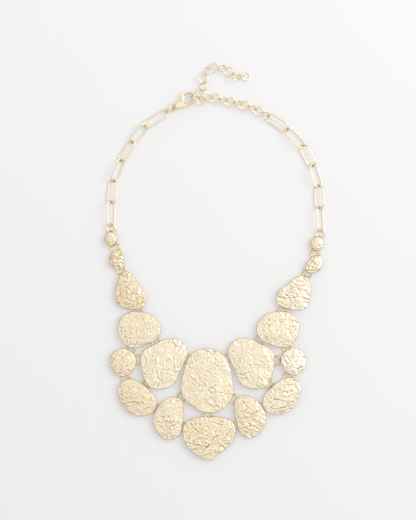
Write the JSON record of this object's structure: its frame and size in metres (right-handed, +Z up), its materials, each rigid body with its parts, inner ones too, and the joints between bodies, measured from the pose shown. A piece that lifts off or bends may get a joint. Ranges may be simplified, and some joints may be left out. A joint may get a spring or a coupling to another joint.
{
  "type": "bib necklace",
  "caption": "Bib necklace of hammered gold-tone nuggets on jump rings, with paperclip chains, lobster clasp and extender chain, lying clasped.",
  "frame": {"origin": "on the table, under the middle of the lying necklace", "axes": "+Z up from the table, +Y from the bib's point to the clasp, +X to the picture's right"},
  "size_m": [0.1238, 0.2222, 0.0051],
  "materials": {
    "nugget_gold": "pale champagne gold plating, cast crinkled relief, satin to bright",
    "ring_gold": "gold plating, polished wire",
    "chain_gold": "pale gold plating, polished wire",
    "clasp_gold": "pale gold plating, polished casting",
    "lever_gold": "gold plating, polished",
    "end_ring_gold": "very pale gold plating, polished wire"
  },
  "bodies": {
    "necklace": {"centre_nugget": "nugget_gold", "clasp_body": "clasp_gold", "end_ring": "end_ring_gold", "extender_chain": "chain_gold", "left_bead": "nugget_gold", "left_bean": "nugget_gold", "left_nugget": "nugget_gold", "left_oval": "nugget_gold", "left_pear": "nugget_gold", "left_round": "nugget_gold", "left_shield": "nugget_gold", "left_teardrop": "nugget_gold", "paperclip_chain_left": "chain_gold", "paperclip_chain_right": "chain_gold", "point_nugget": "nugget_gold", "right_bead": "nugget_gold", "right_bean": "nugget_gold", "right_nugget": "nugget_gold", "right_oval": "nugget_gold", "right_pear": "nugget_gold", "right_round": "nugget_gold", "right_shield": "nugget_gold", "right_teardrop": "nugget_gold", "ring_centre_nugget_point_nugget": "ring_gold", "ring_left_bead_left_nugget": "ring_gold", "ring_left_bean_left_pear": "ring_gold", "ring_left_nugget_left_teardrop": "ring_gold", "ring_left_oval_left_round": "ring_gold", "ring_left_oval_left_shield": "ring_gold", "ring_left_pear_centre_nugget": "ring_gold", "ring_left_pear_point_nugget": "ring_gold", "ring_left_round_left_bean": "ring_gold", "ring_left_round_left_shield": "ring_gold", "ring_left_shield_centre_nugget": "ring_gold", "ring_left_shield_left_bean": "ring_gold", "ring_left_teardrop_left_oval": "ring_gold", "ring_right_bead_right_nugget": "ring_gold", "ring_right_bean_right_pear": "ring_gold", "ring_right_nugget_right_teardrop": "ring_gold", "ring_right_oval_right_round": "ring_gold", "ring_right_oval_right_shield": "ring_gold", "ring_right_pear_centre_nugget": "ring_gold", "ring_right_pear_point_nugget": "ring_gold", "ring_right_round_right_bean": "ring_gold", "ring_right_round_right_shield": "ring_gold", "ring_right_shield_centre_nugget": "ring_gold", "ring_right_shield_right_bean": "ring_gold", "ring_right_teardrop_right_oval": "ring_gold"},
    "lever": {"clasp_lever": "lever_gold"}
  },
  "joints": [
    {"name": "lever_hinge", "type": "hinge", "parent": "necklace", "child": "lever", "pos_m": [-0.01814, 0.08783, 0.00255], "axis": [0, 0, 1], "range_deg": [0, 25], "stiffness_Nm_per_rad": 0.002}
  ]
}
